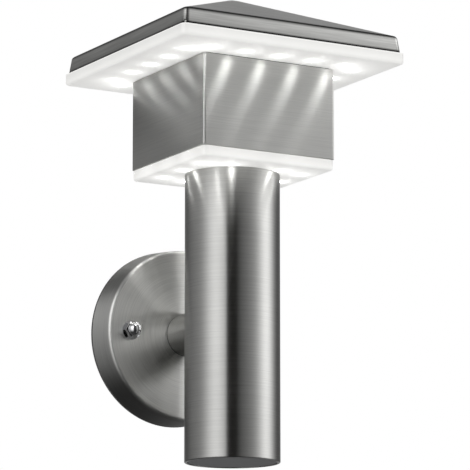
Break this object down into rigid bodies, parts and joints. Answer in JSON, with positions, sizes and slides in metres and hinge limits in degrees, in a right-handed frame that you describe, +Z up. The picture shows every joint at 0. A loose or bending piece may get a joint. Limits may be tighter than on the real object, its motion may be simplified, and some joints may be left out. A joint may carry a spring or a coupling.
{
  "type": "outdoor wall light",
  "caption": "Stainless outdoor wall light: round rose and arm carry a vertical tube with a square lit head under a low pyramid roof.",
  "frame": {"origin": "on the wall, at the centre of the round rose and of the bracket's two screw slots", "axes": "+Z up along the column, +Y into the wall, the lamp stands out to -Y, X across"},
  "size_m": [0.1326, 0.1348, 0.2463],
  "materials": {
    "stainless": "brushed",
    "chrome": "polished",
    "opal": "opal, lit from inside",
    "lamp_chip": "lit",
    "board": "white solder resist",
    "sheet_aluminium": "mill",
    "zinc_steel": "zinc plated",
    "brass": "plain",
    "foam_rubber": "matt",
    "silicone": "matt, pale",
    "grey_plastic": "matt",
    "white_plastic": "matt",
    "lead_sheath": "matt",
    "core_sheath": "satin"
  },
  "bodies": {
    "lamp": {"arm_nipple": "zinc_steel", "arm_nuts": "zinc_steel", "arm_tube": "stainless", "arm_washer": "zinc_steel", "board_screws": "zinc_steel", "box_housing": "stainless", "bracket_studs": "zinc_steel", "column": "stainless", "column_bridge": "zinc_steel", "column_end_cap": "grey_plastic", "column_saddle": "zinc_steel", "driver_bracket": "zinc_steel", "driver_screws": "zinc_steel", "earth_screw": "brass", "earth_tag": "brass", "lead_cores": "core_sheath", "lead_grommets": "foam_rubber", "led_driver": "white_plastic", "lower_carrier": "sheet_aluminium", "lower_diffuser": "opal", "lower_diffuser_screws": "zinc_steel", "lower_gasket": "silicone", "lower_led_board": "board", "lower_led_lead": "lead_sheath", "lower_leds": "lamp_chip", "mains_lead": "lead_sheath", "roof": "stainless", "roof_bracket": "zinc_steel", "roof_weld_nut": "zinc_steel", "rose": "stainless", "terminal_block": "white_plastic", "terminal_fixing_screw": "zinc_steel", "terminal_screws": "brass", "tie_rod": "zinc_steel", "tie_rod_nuts": "zinc_steel", "tie_rod_washers": "zinc_steel", "upper_carrier": "sheet_aluminium", "upper_carrier_screws": "zinc_steel", "upper_diffuser": "opal", "upper_gasket": "foam_rubber", "upper_led_board": "board", "upper_led_lead": "lead_sheath", "upper_leds": "lamp_chip", "wall_bracket": "zinc_steel", "wall_gasket": "foam_rubber"},
    "washer_left": {"nut_washer_left": "chrome"},
    "nut_left": {"cap_nut_left": "chrome"},
    "washer_right": {"nut_washer_right": "chrome"},
    "nut_right": {"cap_nut_right": "chrome"}
  },
  "joints": [
    {"name": "nut_left_travel", "type": "slide", "parent": "lamp", "child": "washer_left", "axis": [0, -1, 0], "range_m": [0, 0.004]},
    {"name": "nut_left_turn", "type": "hinge", "parent": "washer_left", "child": "nut_left", "pos_m": [-0.0335, -0.019, 0], "axis": [0, -1, 0], "range_deg": [0, 1800]},
    {"name": "nut_right_travel", "type": "slide", "parent": "lamp", "child": "washer_right", "axis": [0, -1, 0], "range_m": [0, 0.004]},
    {"name": "nut_right_turn", "type": "hinge", "parent": "washer_right", "child": "nut_right", "pos_m": [0.0335, -0.019, 0], "axis": [0, -1, 0], "range_deg": [0, 1800]}
  ],
  "couplings": [
    {"joint": "nut_left_turn", "follows": "nut_left_travel", "rad_per_m": 7854},
    {"joint": "nut_right_turn", "follows": "nut_right_travel", "rad_per_m": 7854}
  ]
}
